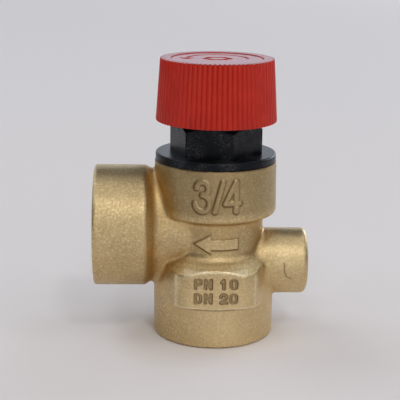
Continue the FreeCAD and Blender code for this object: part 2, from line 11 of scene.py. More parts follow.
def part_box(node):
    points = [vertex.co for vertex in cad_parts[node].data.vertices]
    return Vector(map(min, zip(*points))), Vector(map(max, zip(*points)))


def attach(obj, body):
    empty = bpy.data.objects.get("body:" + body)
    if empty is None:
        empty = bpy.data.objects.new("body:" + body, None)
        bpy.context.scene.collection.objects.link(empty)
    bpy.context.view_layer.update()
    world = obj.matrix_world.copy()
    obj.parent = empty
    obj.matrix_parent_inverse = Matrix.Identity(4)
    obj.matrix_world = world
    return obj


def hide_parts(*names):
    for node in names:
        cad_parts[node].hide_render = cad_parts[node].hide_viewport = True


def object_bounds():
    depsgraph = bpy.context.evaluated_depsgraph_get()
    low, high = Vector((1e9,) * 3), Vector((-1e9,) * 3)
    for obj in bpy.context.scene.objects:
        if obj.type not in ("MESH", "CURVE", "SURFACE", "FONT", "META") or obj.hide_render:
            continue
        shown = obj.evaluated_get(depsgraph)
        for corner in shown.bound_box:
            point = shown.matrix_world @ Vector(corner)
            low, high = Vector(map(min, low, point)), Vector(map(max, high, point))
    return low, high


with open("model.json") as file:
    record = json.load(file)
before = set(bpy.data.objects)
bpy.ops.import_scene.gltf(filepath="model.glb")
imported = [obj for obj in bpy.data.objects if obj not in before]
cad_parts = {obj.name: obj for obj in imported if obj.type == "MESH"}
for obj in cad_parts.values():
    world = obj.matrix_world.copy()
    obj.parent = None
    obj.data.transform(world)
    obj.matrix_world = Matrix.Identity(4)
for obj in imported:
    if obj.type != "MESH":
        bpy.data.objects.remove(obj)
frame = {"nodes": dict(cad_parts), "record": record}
CAD_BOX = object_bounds()

# Lengths in this script are millimetres, in the CAD's frame, and become metres when a mesh is made.
MM = 0.001


def node_box(node):
    """Lowest and highest corners of a CAD node, in millimetres."""
    low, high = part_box(node)
    return [value / MM for value in low], [value / MM for value in high]


BODY_LOW, BODY_HIGH = node_box("valve_body")
CAP_LOW, CAP_HIGH = node_box("cap")
BADGE_LOW, BADGE_HIGH = node_box("cap_badge")
PLACES = {mount["name"]: [value / MM for value in mount["pos_m"]] for mount in frame["record"]["mounts"]}
RADII = {mount["name"]: mount["dims"]["r_mm"] for mount in frame["record"]["mounts"]}

# Forged body, outside
OUTLET_FACE = BODY_LOW[0]
GAUGE_FACE = BODY_HIGH[0]
BODY_TOP_Z = BODY_HIGH[2]
OUTLET_Z = PLACES["outlet"][2]
GAUGE_Z = PLACES["gauge_port"][2]
INLET_R = 16.6
SHOULDER_Z = 21.6
SHOULDER_SLOPE = 0.7
WAIST_R = 13.3
WAIST_Z = 28.0          # its middle
WAIST_REACH = 10.0      # how far it runs into the barrels, from its middle
UNDERSIDE_Z = 33.5      # where the upper barrel's sloping underside leaves the waist
CHAMBER_Z = 34.7        # where it reaches the barrel's wall
CHAMBER_R = 16.76
BODY_TOP_R = 16.55
OUTLET_R = 16.57
COLLAR_BACK = -18.7
NECK_START = -16.3
NECK_HALF_WIDTH = 11.7
NECK_HALF_HEIGHT = 16.0
NECK_POWER = 1.8       # 2 would make its section an ellipse
GAUGE_R = 9.1
PAD_Y = 16.75
PAD_HALF_WIDTH = 8.0
PAD_STRIP_X = 10.9
PAD_STRIP_Y = 14.9
PAD_SIDE_X = 13.1
PAD_SIDE_Y = 10.0
PAD_Z = 10.9
PAD_FOOT_SLOPE = 0.2

# Forged body, rounded edges and the fillets where its parts meet
MOUTH_EDGE = 0.5
SHOULDER_EDGE = 1.4
WAIST_FILLET = 1.4
UNDERSIDE_EDGE = 0.6
TOP_EDGE = 0.25
UPPER_FILLET = 1.0
COLLAR_EDGE = 0.6
COLLAR_FILLET = 1.2
BOSS_EDGE = 1.6
BOSS_FILLET = 0.8
PAD_FLAT_EDGE = 0.9
PAD_EDGE = 0.35
PAD_END_EDGE = 0.3
PAD_FILLET = 0.2
NECK_FILLET = 0.6       # at the upper barrel; it grows downward to the inlet barrel
NECK_FILLET_GROWTH = 0.7
NECK_FILLET_TOP = 22.0
NECK_FILLET_RUN = 6.0

# Forged body, inside
INLET_THREAD = 14.5
OUTLET_THREAD = 14.0
GAUGE_THREAD = 10.3
SEAT_BORE_R = 8.0
SEAT_Z = 37.0
SEAT_LIP = 0.9
SEAT_RIM_R = 9.4
TRENCH_Z = 35.0
TRENCH_R = 12.6
LEDGE_Z = 42.5
BONNET_THREAD_R = 14.6
OUTLET_BORE_R = 11.0
OUTLET_BORE_END = -10.4
GAUGE_HOLE_R = 2.6
LEAD_IN = 0.9
PITCH = {"inlet": 1.814, "outlet": 1.814, "gauge_port": 1.337}
THREAD_HEIGHT = 0.64    # of its pitch
STEPS_PER_PITCH = 8
PAST = 1.0              # how far a cutter reaches past the face it opens

# Meshes
VOXEL = 0.53
BADGE_VOXEL = 0.16
SMALLEST = 1e-6         # keeps a division from failing on the neck's axis
ROUND = 96              # segments of a turned mesh
FINE_ROUND = 144


# ---------------------------------------------------------------- distance fields

def union(a, b, fillet):
    """Distance to both shapes together, with a fillet where they meet."""
    inward = np.hypot(np.maximum(fillet - a, 0), np.maximum(fillet - b, 0))
    return np.maximum(fillet, np.minimum(a, b)) - inward


def overlap(a, b, edge):
    """Distance to what both shapes share, with a rounded edge where they meet."""
    outward = np.hypot(np.maximum(edge + a, 0), np.maximum(edge + b, 0))
    return np.minimum(-edge, np.maximum(a, b)) + outward


def slope(across, along, start, end):
    """Distance to a straight flank through two (across, along) points, positive to the right of it."""
    run = math.hypot(end[0] - start[0], end[1] - start[1])
    return ((across - start[0]) * (end[1] - start[1]) - (along - start[1]) * (end[0] - start[0])) / run


def cone(out, z, rim_r, rim_z, steepness):
    """Distance above a cone that falls outward through a rim, by its drop for each unit of radius."""
    return (z - rim_z + steepness * (out - rim_r)) / math.hypot(1, steepness)


def smooth_step(value):
    """Eases from 0 to 1 as a value goes from 0 to 1."""
    value = np.clip(value, 0, 1)
    return value * value * (3 - 2 * value)


def to_segment(x, z, start, end):
    """Distance in a plane from points to a straight stroke's centre line."""
    run_x, run_z = end[0] - start[0], end[1] - start[1]
    share = np.clip(((x - start[0]) * run_x + (z - start[1]) * run_z) / (run_x ** 2 + run_z ** 2), 0, 1)
    return np.hypot(x - start[0] - share * run_x, z - start[1] - share * run_z)


def to_bow(x, z, centre, radius, from_deg, to_deg):
    """Distance in a plane from points to an arc's centre line; 0 degrees is +X, 90 is +Z."""
    middle = math.radians((from_deg + to_deg) / 2)
    half = math.radians((to_deg - from_deg) / 2)
    across, up = x - centre[0], z - centre[1]
    turn = np.abs((np.arctan2(up, across) - middle + math.pi) % (2 * math.pi) - math.pi)
    on_arc = np.abs(np.hypot(across, up) - radius)
    ends = [
        np.hypot(across - radius * math.cos(end), up - radius * math.sin(end))
        for end in (middle - half, middle + half)
    ]
    return np.where(turn <= half, on_arc, np.minimum(*ends))


def to_outline(x, z, corners):
    """Signed distance in a plane to a closed outline, negative inside."""
    edges = [(corners[i - 1], corners[i]) for i in range(len(corners))]
    nearest = np.minimum.reduce([to_segment(x, z, start, end) for start, end in edges])
    inside = np.zeros(np.shape(x), bool)
    for (x0, z0), (x1, z1) in edges:
        if z0 != z1:
            inside ^= ((z0 > z) != (z1 > z)) & (x < x0 + (x1 - x0) * (z - z0) / (z1 - z0))
    return np.where(inside, -nearest, nearest)


# ---------------------------------------------------------------- raised and sunk marks

FIGURE_FOOT = 38.05
FIGURE_TOP = 45.9
FIGURE_STROKE = 1.3
FIGURE_RISE = 0.37
FIGURE_SOFT = 0.5
ARROW_Z = 28.1
ARROW_RISE = 0.45
ARROW_SOFT = 0.35
ARROW = (
    (-5.85, 0.0), (-1.35, 2.75), (-1.35, 1.3), (5.95, 1.5), (5.95, -1.5), (-1.45, -1.5), (-1.45, -2.55),
)
LETTER_HEIGHT = 2.3
LETTER_WIDTH = 1.5
LETTER_STEP = 2.65
LETTER_SPACE = 1.5      # step of a blank
LETTER_STROKE = 0.72
LETTER_DEPTH = 0.45
LETTER_SOFT = 0.25
ROWS = (("PN 10", 16.95), ("DN 20", 12.95))
CRACK = ((18.7, 21.6), (18.9, 20.6), (18.75, 19.6), (19.2, 18.6), (19.3, 17.9), (20.8, 17.2))
CRACK_HALF_WIDTH = 0.06
CRACK_DEPTH = 0.2
CRACK_SOFT = 0.18
CRACK_GRIME_AND_SHADE = 0.6
FRONT_Y = -4.0          # marks lie only in front of this
FAR = 99.0


def size_figures(x, z):
    """Distance to the centre lines of the thread size, 3/4."""
    upper, lower = 1.75, 2.15       # half heights of the 3's two bowls
    squeeze = 1.14                  # each bowl's height over its width
    three_x = -4.05
    slash_foot, slash_top = -0.7, 1.4
    four_x = 4.95
    bar_left, bar_right, bar_z = four_x - 2.9, four_x + 0.9, FIGURE_FOOT + 2.1
    narrow = (x - three_x) * squeeze
    strokes = [
        to_bow(narrow, z, (0, FIGURE_TOP - upper), upper, -90, 175),
        to_bow(narrow, z, (0, FIGURE_FOOT + lower), lower, -175, 90),
        to_segment(x, z, (slash_foot, FIGURE_FOOT), (slash_top, FIGURE_TOP)),
        to_segment(x, z, (four_x, FIGURE_FOOT), (four_x, FIGURE_TOP)),
        to_segment(x, z, (four_x - 0.2, FIGURE_TOP), (bar_left, bar_z)),
        to_segment(x, z, (bar_left, bar_z), (bar_right, bar_z)),
    ]
    return np.minimum.reduce(strokes)


def letter(character, x, z):
    """Distance to one character's centre lines; its cell runs from 0 to LETTER_WIDTH and LETTER_HEIGHT."""
    wide, high = LETTER_WIDTH, LETTER_HEIGHT
    half = wide / 2
    quarter = high / 4
    stem = to_segment(x, z, (0, 0), (0, high))
    shapes = {
        "P": lambda: [
            stem,
            to_segment(x, z, (0, high), (wide - quarter, high)),
            to_segment(x, z, (0, high / 2), (wide - quarter, high / 2)),
            to_bow(x, z, (wide - quarter, high - quarter), quarter, -90, 90),
        ],
        "N": lambda: [
            stem,
            to_segment(x, z, (0, high), (wide, 0)),
            to_segment(x, z, (wide, 0), (wide, high)),
        ],
        "D": lambda: [
            stem,
            to_bow(x, z, (wide - high / 2, high / 2), high / 2, -90, 90),
            to_segment(x, z, (0, high), (wide - high / 2, high)),
            to_segment(x, z, (0, 0), (wide - high / 2, 0)),
        ],
        "0": lambda: [
            to_bow(x, z, (half, high - half), half, 0, 180),
            to_bow(x, z, (half, half), half, 180, 360),
            to_segment(x, z, (0, half), (0, high - half)),
            to_segment(x, z, (wide, half), (wide, high - half)),
        ],
        "1": lambda: [
            to_segment(x, z, (half, 0), (half, high)),
            to_segment(x, z, (half, high), (0.1 * wide, 0.75 * high)),
        ],
        # The 2's diagonal starts where its bow ends, 20 degrees below the bow's centre.
        "2": lambda: [
            to_bow(x, z, (half, high - half), half, -20, 180),
            to_segment(x, z, (0, 0), (wide, 0)),
            to_segment(x, z, (half * 1.94, high - half * 1.34), (0, 0)),
        ],
    }
    return np.minimum.reduce(shapes[character]())


def rating_rows(x, z):
    """Distance to the pressure and size rating, in two rows on the wrench pad."""
    nearest = np.full_like(x, FAR)
    for text, foot in ROWS:
        advance = [LETTER_SPACE if character == " " else LETTER_STEP for character in text]
        start = -(sum(advance) - LETTER_STEP + LETTER_WIDTH) / 2
        for character, step in zip(text, advance):
            if character != " ":
                nearest = np.minimum(nearest, letter(character, x - start, z - foot))
            start += step
    return nearest


def crack(x, z):
    """Distance to the centre line of the crack in the gauge port's boss."""
    return np.minimum.reduce([to_segment(x, z, start, end) for start, end in zip(CRACK, CRACK[1:])])


# Where each mark lies: x from and to, z from and to.
FIGURES_AREA = (-8, 8, 36, 48)
ARROW_AREA = (-7.5, 7.5, 24, 32)
RATING_AREA = (-8, 8, 11.5, 20.5)
CRACK_AREA = (17.5, 22, 16, 22.6)

# A mark is its area, its distance, its flank's width, its rise and how much grime and painted shade it
# holds.
MARKS = (
    (FIGURES_AREA, lambda x, z: size_figures(x, z) - FIGURE_STROKE / 2, FIGURE_SOFT, FIGURE_RISE, 1.0),
    (ARROW_AREA, lambda x, z: to_outline(x, z - ARROW_Z, ARROW), ARROW_SOFT, ARROW_RISE, 1.0),
    (RATING_AREA, lambda x, z: rating_rows(x, z) - LETTER_STROKE / 2, LETTER_SOFT, -LETTER_DEPTH, 1.0),
    (CRACK_AREA, lambda x, z: crack(x, z) - CRACK_HALF_WIDTH, CRACK_SOFT, -CRACK_DEPTH, CRACK_GRIME_AND_SHADE),
)


def near_mark(x, y, z, area):
    """Which points lie on the front in a mark's area."""
    left, right, foot, top = area
    return (y < FRONT_Y) & (x > left) & (x < right) & (z > foot) & (z < top)


def marks(x, y, z):
    """How far the marks raise the surface, and below zero how far they sink it."""
    rise = np.zeros_like(x)
    for area, distance, soft, height, _ in MARKS:
        here = near_mark(x, y, z, area)
        rise[here] += height * smooth_step(0.5 - distance(x[here], z[here]) / soft)
    return rise


# ---------------------------------------------------------------- forged body

def uprights(x, y, z):
    """Inlet barrel with its shoulder, waist and upper barrel."""
    out = np.hypot(x, y)
    shoulder = cone(out, z, PAD_Y, SHOULDER_Z, SHOULDER_SLOPE)
    inlet = overlap(overlap(out - INLET_R, -z, MOUTH_EDGE), shoulder, SHOULDER_EDGE)
    waist = np.maximum(out - WAIST_R, np.abs(z - WAIST_Z) - WAIST_REACH)
    wall = CHAMBER_R + (BODY_TOP_R - CHAMBER_R) * (z - CHAMBER_Z) / (BODY_TOP_Z - CHAMBER_Z)
    underside = slope(out, z, (WAIST_R, UNDERSIDE_Z), (CHAMBER_R, CHAMBER_Z))
    upper = overlap(overlap(out - wall, underside, UNDERSIDE_EDGE), z - BODY_TOP_Z, TOP_EDGE)
    return union(union(inlet, waist, WAIST_FILLET), upper, UPPER_FILLET)


def outlet(x, y, z):
    """Round collar with a sloping back flank, on an oval neck."""
    up = z - OUTLET_Z
    out = np.hypot(y, up)
    flank = slope(out, x, (OUTLET_R, COLLAR_BACK), (NECK_HALF_WIDTH, NECK_START))
    collar = overlap(overlap(out - OUTLET_R, OUTLET_FACE - x, COLLAR_EDGE), flank, COLLAR_EDGE)
    wide, high = np.abs(y) / NECK_HALF_WIDTH, np.abs(up) / NECK_HALF_HEIGHT
    oval = (wide ** NECK_POWER + high ** NECK_POWER) ** (1 / NECK_POWER) + SMALLEST
    bend = NECK_POWER - 1
    growth = np.hypot(wide ** bend / NECK_HALF_WIDTH, high ** bend / NECK_HALF_HEIGHT)
    steepness = growth / oval ** bend + SMALLEST
    neck = np.maximum((oval - 1) / steepness, np.maximum(x, COLLAR_BACK - 2 - x))
    return union(collar, neck, COLLAR_FILLET)


def gauge_boss(x, y, z):
    """Round boss of the gauge port."""
    out = np.hypot(y, z - GAUGE_Z)
    return np.maximum(overlap(out - GAUGE_R, x - GAUGE_FACE, BOSS_EDGE), -x)


def wrench_pads(x, y, z):
    """Front and back flats with strips and slanted sides; cones cut them back above and below."""
    side, away = np.abs(x), np.abs(y)
    out = np.hypot(x, y)
    flat = away - PAD_Y
    foot = cone(out, -z, PAD_Y, -PAD_Z, PAD_FOOT_SLOPE)
    strip = slope(side, away, (PAD_STRIP_X, PAD_STRIP_Y), (PAD_HALF_WIDTH, PAD_Y))
    slant = slope(side, away, (PAD_SIDE_X, PAD_SIDE_Y), (PAD_STRIP_X, PAD_STRIP_Y))
    back = (side * PAD_SIDE_Y - away * PAD_SIDE_X) / math.hypot(PAD_SIDE_X, PAD_SIDE_Y)
    top = cone(out, z, PAD_Y, SHOULDER_Z, SHOULDER_SLOPE)
    face = overlap(overlap(flat, strip, PAD_FLAT_EDGE), slant, PAD_EDGE)
    pad = overlap(face, overlap(foot, top, PAD_END_EDGE), PAD_EDGE)
    return np.maximum(pad, back)


def forging(x, y, z):
    """Distance to the forging's skin, marks included."""
    upright = union(uprights(x, y, z), wrench_pads(x, y, z), PAD_FILLET)
    corner = NECK_FILLET + NECK_FILLET_GROWTH * smooth_step((NECK_FILLET_TOP - z) / NECK_FILLET_RUN)
    whole = union(union(upright, outlet(x, y, z), corner), gauge_boss(x, y, z), BOSS_FILLET)
    return whole - marks(x, y, z)


def settle(field, points, rounds=3):
    """Moves points onto a distance field's zero surface."""
    nudge, furthest, flattest = 0.02, 0.3, 0.2
    for _ in range(rounds):
        here = field(*points.T)
        steps = [field(*(points + nudge * np.eye(3)[axis]).T) - here for axis in range(3)]
        gradient = np.stack(steps, axis=1) / nudge
        length = np.maximum((gradient ** 2).sum(axis=1), flattest)
        points = points - gradient * (np.clip(here, -furthest, furthest) / length)[:, None]
    return points


def skin(name, field, low, high, voxel):
    """Closed mesh of a distance field, sampled on a grid and then settled onto the exact surface."""
    axes = [np.arange(low[i], high[i] + voxel, voxel) for i in range(3)]
    grid = np.meshgrid(*axes, indexing="ij")
    values = field(*[part.ravel() for part in grid]).reshape(grid[0].shape)
    volume = openvdb.FloatGrid(2 * voxel)
    volume.copyFromArray(np.clip(values, -2 * voxel, 2 * voxel).astype(np.float32))
    points, quads = volume.convertToQuads(0.0)
    points = settle(field, points * voxel + np.array(low))
    return mesh_object(name, points, quads)


def refine(piece, field, cuts, wanted):
    """Divides the faces that wanted(x, y, z) picks by their centres, and settles all points again."""
    mesh = bmesh.new()
    mesh.from_mesh(piece.data)
    centres = np.array([face.calc_center_median() for face in mesh.faces]) / MM
    picked = wanted(*centres.T)
    edges = {edge for face, pick in zip(mesh.faces, picked) if pick for edge in face.edges}
    bmesh.ops.subdivide_edges(mesh, edges=list(edges), cuts=cuts, use_grid_fill=True)
    bmesh.ops.triangulate(mesh, faces=[face for face in mesh.faces if len(face.verts) > 4])
    mesh.to_mesh(piece.data)
    mesh.free()
    points = np.empty(3 * len(piece.data.vertices))
    piece.data.vertices.foreach_get("co", points)
    points = settle(field, points.reshape(-1, 3) / MM, 4)
    piece.data.vertices.foreach_set("co", (points * MM).ravel())
    piece.data.update()


def mesh_object(name, points, faces):
    """Blender object from points in millimetres."""
    mesh = bpy.data.meshes.new(name)
    corners = (np.asarray(points, float) * MM).tolist()
    mesh.from_pydata(corners, [], [[int(i) for i in face] for face in faces])
    mesh.validate()
    piece = bpy.data.objects.new(name, mesh)
    bpy.context.scene.collection.objects.link(piece)
    return piece


# ---------------------------------------------------------------- turned meshes

def lathe(name, rings, segments=ROUND):
    """Closed mesh about the spindle's axis. A ring is a height and a radius, or a radius per segment."""
    turns = np.arange(segments) * 2 * math.pi / segments
    points = [(0, 0, rings[0][0])]
    for height, radius in rings:
        reach = np.broadcast_to(radius, segments)
        points += [(r * math.cos(t), r * math.sin(t), height) for r, t in zip(reach, turns)]
    points.append((0, 0, rings[-1][0]))
    last = len(points) - 1
    faces = [(0, 1 + (i + 1) % segments, 1 + i) for i in range(segments)]
    for row in range(len(rings) - 1):
        low = 1 + row * segments
        high = low + segments
        for i in range(segments):
            after = (i + 1) % segments
            faces.append((low + i, low + after, high + after, high + i))
    top = 1 + (len(rings) - 1) * segments
    faces += [(last, top + i, top + (i + 1) % segments) for i in range(segments)]
    return mesh_object(name, points, faces)


def lathe_ring(name, profile):
    """Closed ring mesh about the spindle's axis from a closed profile of (radius, height)."""
    turns = np.arange(ROUND) * 2 * math.pi / ROUND
    points = [(r * math.cos(t), r * math.sin(t), z) for t in turns for r, z in profile]
    count = len(profile)
    faces = []
    for i in range(ROUND):
        here, after = i * count, (i + 1) % ROUND * count
        for j in range(count):
            k = (j + 1) % count
            faces.append((here + j, after + j, after + k, here + k))
    return mesh_object(name, points, faces)


def thread(port, mouth, relief):
    """Rings of an internal thread from its mouth to its relief, which are heights on the port's axis."""
    turns = np.arange(ROUND) * 2 * math.pi / ROUND
    radius, pitch = RADII[port], PITCH[port]
    fade_start, sharpness = 0.4, 1.3
    low, high = min(mouth, relief), max(mouth, relief)
    count = int(round((high - low) / (pitch / STEPS_PER_PITCH))) + 1
    rings = []
    for height in np.linspace(low, high, count):
        phase = 2 * math.pi * height / pitch - turns
        fade = float(smooth_step(abs(height - relief) / pitch - fade_start))
        ridge = THREAD_HEIGHT * pitch * fade * (0.5 + 0.5 * np.cos(phase)) ** sharpness
        lead = radius + LEAD_IN - abs(height - mouth)
        rings.append((height, np.maximum(radius - ridge, lead)))
    return rings


def cut(target, *cutters):
    """Takes the cutters out of a closed mesh, and removes them."""
    for cutter in cutters:
        modifier = target.modifiers.new("cut", "BOOLEAN")
        modifier.object = cutter
        modifier.operation = "DIFFERENCE"
        modifier.solver = "MANIFOLD"
    baked(target)
    for cutter in cutters:
        bpy.data.objects.remove(cutter)


def joined(target, other):
    """Fuses a closed mesh with another, which is removed."""
    modifier = target.modifiers.new("join", "BOOLEAN")
    modifier.object = other
    modifier.operation = "UNION"
    modifier.solver = "MANIFOLD"
    baked(target)
    bpy.data.objects.remove(other)


def baked(piece):
    """Replaces a piece's mesh with what its modifiers make of it."""
    result = bpy.data.meshes.new_from_object(piece.evaluated_get(bpy.context.evaluated_depsgraph_get()))
    piece.modifiers.clear()
    result.materials.clear()
    piece.data = result
    bpy.context.view_layer.update()


def aim_along_x(piece, height, side):
    """Turns a mesh made about the spindle's axis onto a horizontal port's axis."""
    turn = Matrix.Rotation(math.radians(90 * side), 4, "Y")
    piece.data.transform(Matrix.Translation((0, 0, height * MM)) @ turn)


def body_cutters():
    """What is bored out of the forging: inlet and seat, discharge chamber, outlet, gauge port."""
    inlet = lathe("inlet_bore", [
        (-PAST, RADII["inlet"] + LEAD_IN + PAST),
        *thread("inlet", 0, INLET_THREAD),
        (INLET_THREAD + 2.5, SEAT_BORE_R), (SEAT_Z + 2, SEAT_BORE_R),
    ])
    chamber = lathe("chamber", [
        (LEDGE_Z - 0.01, TRENCH_R), (LEDGE_Z, BONNET_THREAD_R), (BODY_TOP_Z + PAST, BONNET_THREAD_R),
    ])
    lip_r = SEAT_BORE_R + SEAT_LIP
    trench = lathe("trench", [(SEAT_Z, lip_r), (LEDGE_Z, lip_r)])
    chamfer, corner, bend = 0.3, 0.8, 0.25
    ceiling = LEDGE_Z + 0.1
    moat = lathe_ring("moat", [
        (lip_r, SEAT_Z), (SEAT_RIM_R, TRENCH_Z + 1), (SEAT_RIM_R, TRENCH_Z + chamfer),
        (SEAT_RIM_R + chamfer, TRENCH_Z), (TRENCH_R - corner, TRENCH_Z),
        (TRENCH_R - bend, TRENCH_Z + bend), (TRENCH_R, TRENCH_Z + corner), (TRENCH_R, ceiling),
        (SEAT_BORE_R, ceiling), (SEAT_BORE_R, SEAT_Z + 0.5),
    ])
    face = -OUTLET_FACE
    depth = face - OUTLET_THREAD
    side = lathe("outlet_bore", [
        (-OUTLET_BORE_END, OUTLET_BORE_R), (depth - 1.5, OUTLET_BORE_R),
        *thread("outlet", face, depth),
        (face + PAST, RADII["outlet"] + LEAD_IN + PAST),
    ])
    aim_along_x(side, OUTLET_Z, -1)
    depth = GAUGE_FACE - GAUGE_THREAD
    gauge = lathe("gauge_bore", [
        (SEAT_BORE_R - 2, GAUGE_HOLE_R), (depth - 1, GAUGE_HOLE_R),
        *thread("gauge_port", GAUGE_FACE, depth),
        (GAUGE_FACE + PAST, RADII["gauge_port"] + LEAD_IN + PAST),
    ])
    aim_along_x(gauge, GAUGE_Z, 1)
    return inlet, chamber, trench, moat, side, gauge


END_MARGIN = 0.05
SKIN_MARGIN = 0.15


def machined(mesh):
    """Which faces were turned or bored: those inside the forging's skin, and the flat ends."""
    centres = np.empty(3 * len(mesh.polygons))
    mesh.polygons.foreach_get("center", centres)
    x, y, z = centres.reshape(-1, 3).T / MM
    ends = np.minimum.reduce([z, x - OUTLET_FACE, GAUGE_FACE - x])
    return (ends < END_MARGIN) | (forging(x, y, z) < -SKIN_MARGIN)


def worth_detail(x, y, z):
    """Where the forging's skin carries edges finer than its first mesh: pads, rims and marks."""
    out = np.hypot(x, y)
    pads = (np.abs(x) < 12) & (np.abs(y) > 11) & (z > PAD_Z - 1) & (z < SHOULDER_Z + 1)
    top_rim = (z > BODY_TOP_Z - 0.7) & (out > BODY_TOP_R - 0.8)
    low_rim = (np.abs(z - CHAMBER_Z) < 1) & (out > CHAMBER_R - 1.2)
    marked = np.logical_or.reduce([near_mark(x, y, z, area) for area, *_ in MARKS])
    return pads | top_rim | low_rim | marked


def finest(x, y, z):
    """The marks themselves."""
    beside = 0.3
    return np.logical_or.reduce([
        near_mark(x, y, z, area) & (np.abs(distance(x, z)) < soft + beside)
        for area, distance, soft, *_ in MARKS
    ])


def store(piece, name, values):
    """Keeps one number per point on a piece, for its material to read."""
    piece.data.attributes.new(name, "FLOAT", "POINT").data.foreach_set("value", values.astype(np.float32))


def bell(distance, middle, width):
    """1 at a distance from something, and falling off on both sides of it."""
    return np.exp(-((distance - middle) / width) ** 2)


def above_pad_foot(out, z):
    """Distance above the cone that cuts the wrench pads off at their foot."""
    return -cone(out, -z, PAD_Y, -PAD_Z, PAD_FOOT_SLOPE)


# Grime and painted shade at the foot of raised marks and on the flanks and the floor of sunk ones, and
# painted shadow along two lines.
FOOT_GRIME_AND_SHADE_WIDTH = 0.25
FLANK_GRIME_AND_SHADE_WIDTH = 0.16
SUNK_GRIME_AND_SHADE = 0.62
PAD_FOOT_SHADOW = 0.75
TOP_RIM_SHADOW = 0.8


def outline_grime_and_shade(points):
    """How much grime and painted shade lies at each point, from 0 to 1: round the marks, and as painted
    shadow under the pads and at the top rim.
    """
    grime_and_shade = np.zeros(len(points))
    nudge = 0.05
    for area, distance, soft, rise, strength in MARKS:
        here = near_mark(*points.T, area)
        x, z = points[here, 0], points[here, 2]
        away = distance(x, z)
        facing_left = (distance(x - nudge, z) - distance(x + nudge, z)) / (2 * nudge)
        facing_down = (distance(x, z - nudge) - distance(x, z + nudge)) / (2 * nudge)
        # Painted shade: a raised mark's foot is darker on its left and lower sides, which face away from
        # the light.
        away_from_light = np.clip(0.55 + 0.4 * facing_left + 0.45 * facing_down, 0.12, 1)
        foot = bell(away, soft / 2, FOOT_GRIME_AND_SHADE_WIDTH) * away_from_light
        flank = bell(away, 0, FLANK_GRIME_AND_SHADE_WIDTH)
        floor = SUNK_GRIME_AND_SHADE * smooth_step(0.7 - away / soft)
        grime_and_shade[here] = np.maximum(grime_and_shade[here], strength * (foot if rise > 0 else np.maximum(flank, floor)))
    x, y, z = points.T
    out = np.hypot(x, y)
    # Painted shadow: a dark line just under the wrench pads' foot, where they stand proud.
    under_pad = smooth_step(PAD_STRIP_X - np.abs(x)) * (np.abs(y) > 9) * (out < INLET_R + 0.35)
    pad_shadow = PAD_FOOT_SHADOW * under_pad * bell(-above_pad_foot(out, z), 0.15, 0.2)
    # Painted shadow: a dark line along the top rim, under the flange that sits on it.
    rim_shadow = TOP_RIM_SHADOW * smooth_step((z - BODY_TOP_Z + 0.4) / 0.3)
    return np.maximum(np.maximum(grime_and_shade, pad_shadow), rim_shadow)


# How bright the wear and painted highlight are on the pads' upright edges, along their foot and along their
# arched top.
UPRIGHT_WEAR_AND_HIGHLIGHT = 0.5
FOOT_WEAR_AND_HIGHLIGHT = 0.9
ARCH_WEAR_AND_HIGHLIGHT = 0.6
UPRIGHT_HEIGHT = 9


def pad_wear_and_highlight(x, y, z):
    """Bright wear and painted highlight along the edges of the wrench pads, from 0 to 1."""
    side, out = np.abs(x), np.hypot(x, y)
    up = above_pad_foot(out, z)
    above_arch = cone(out, z, PAD_Y, SHOULDER_Z, SHOULDER_SLOPE)
    upright = UPRIGHT_WEAR_AND_HIGHLIGHT * bell(side, PAD_STRIP_X - 0.3, 0.45) * (up < UPRIGHT_HEIGHT)
    foot = FOOT_WEAR_AND_HIGHLIGHT * bell(up, 0.15, 0.22) * (side < PAD_STRIP_X)
    arch = ARCH_WEAR_AND_HIGHLIGHT * bell(above_arch, -0.15, 0.25) * (side < PAD_HALF_WIDTH + 0.5)
    on_pad = (np.abs(y) > 14) & (out > INLET_R + 0.08) & (up > -0.1) & (z < SHOULDER_Z + 1)
    return on_pad * np.maximum.reduce([upright, foot, arch])


# How much painted shade and painted light the blasted skin gets, part by part.
WAIST_SHADE = 0.35
INLET_LIGHT = 0.75
BOSS_LIGHT = 0.45
ARROW_HIGHLIGHT = 0.35


def forging_light_and_shade(x, y, z):
    """Where the blasted skin gets painted shade, below zero, and where it gets painted light, above zero.
    """
    out = np.hypot(x, y)
    # Painted shade on the upper barrel under the cap, most at its front middle, and on the waist; painted
    # light on the inlet barrel, the gauge boss and the arrow's raised top.
    on_barrel = smooth_step((z - 35.3) / 2.5) * smooth_step((17.8 - out) / 0.6)
    upper = on_barrel * (0.7 + 0.3 * bell(x, 0, 8))
    on_waist = smooth_step((13.7 - out) / 0.3) * smooth_step((z - 23) / 2) * smooth_step((33 - z) / 2)
    inlet = INLET_LIGHT * smooth_step((25 - z) / 12) * smooth_step((x + 15) / 11)
    boss = BOSS_LIGHT * smooth_step((x - 14) / 4) * (z < 30)
    raised = smooth_step((out - WAIST_R - 0.2) / 0.2) * (out < WAIST_R + 0.6)
    arrow = ARROW_HIGHLIGHT * near_mark(x, y, z, ARROW_AREA) * raised
    return np.maximum.reduce([inlet, boss, arrow]) - np.maximum(upper, WAIST_SHADE * on_waist)


# How far out, or in, the skin is probed for nooks, edges and wide valleys, and in which directions.
NOOK_REACH = 0.45
EDGE_REACH = 0.7
EDGE_START = 0.05
EDGE_RUN = 0.25
VALLEY_REACH = 4.0
VALLEY_LEANS = ((0, 0, 0), (1, 0, 0), (-1, 0, 0), (0, 0, 1), (0, 0, -1))


